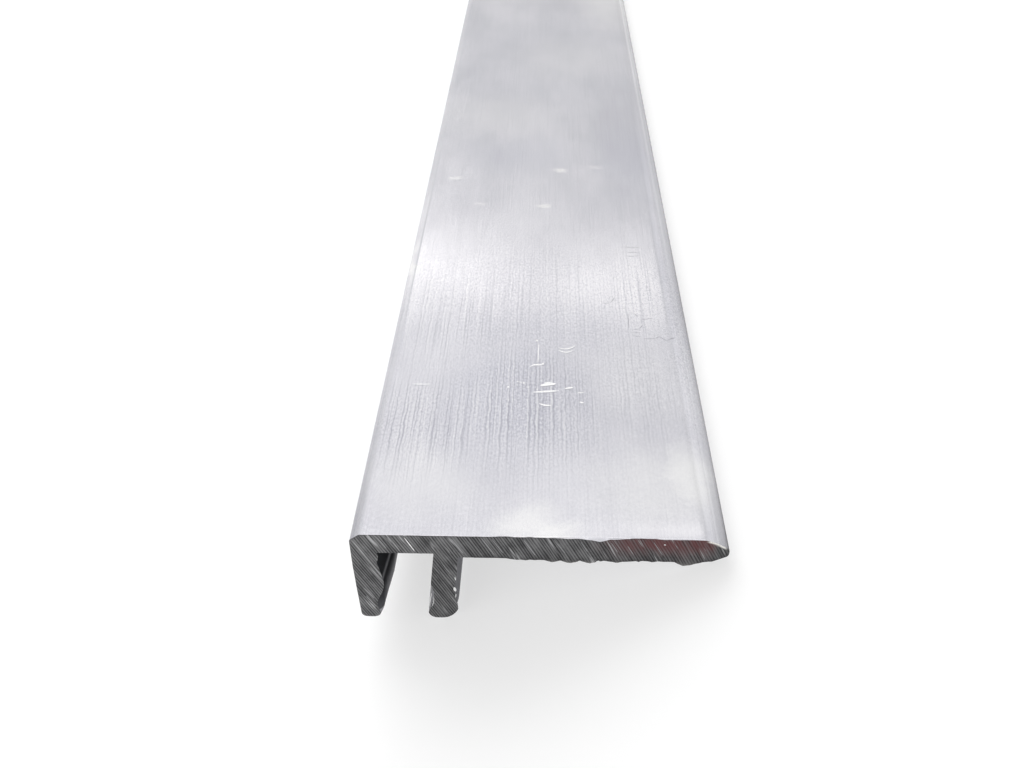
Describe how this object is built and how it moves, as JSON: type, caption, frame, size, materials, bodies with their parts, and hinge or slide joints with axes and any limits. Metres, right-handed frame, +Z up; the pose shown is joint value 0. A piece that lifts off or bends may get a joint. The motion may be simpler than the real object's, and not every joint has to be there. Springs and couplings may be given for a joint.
{
  "type": "aluminium extrusion profile",
  "caption": "Sawn length of extruded aluminium edge profile: a broad flange with a bevelled free edge, and a chamfered lip and a rib with a channel between them.",
  "frame": {"origin": "middle of the bounding box, on the floor that the bar rests on", "axes": "+Y along the bar, +Z up from the floor, +X from the lip towards the free edge"},
  "size_m": [0.0414, 1, 0.015],
  "materials": {
    "aluminium": "satin mill finish with lengthwise die lines"
  },
  "bodies": {
    "root": {"aluminium_profile": "aluminium"}
  },
  "joints": []
}
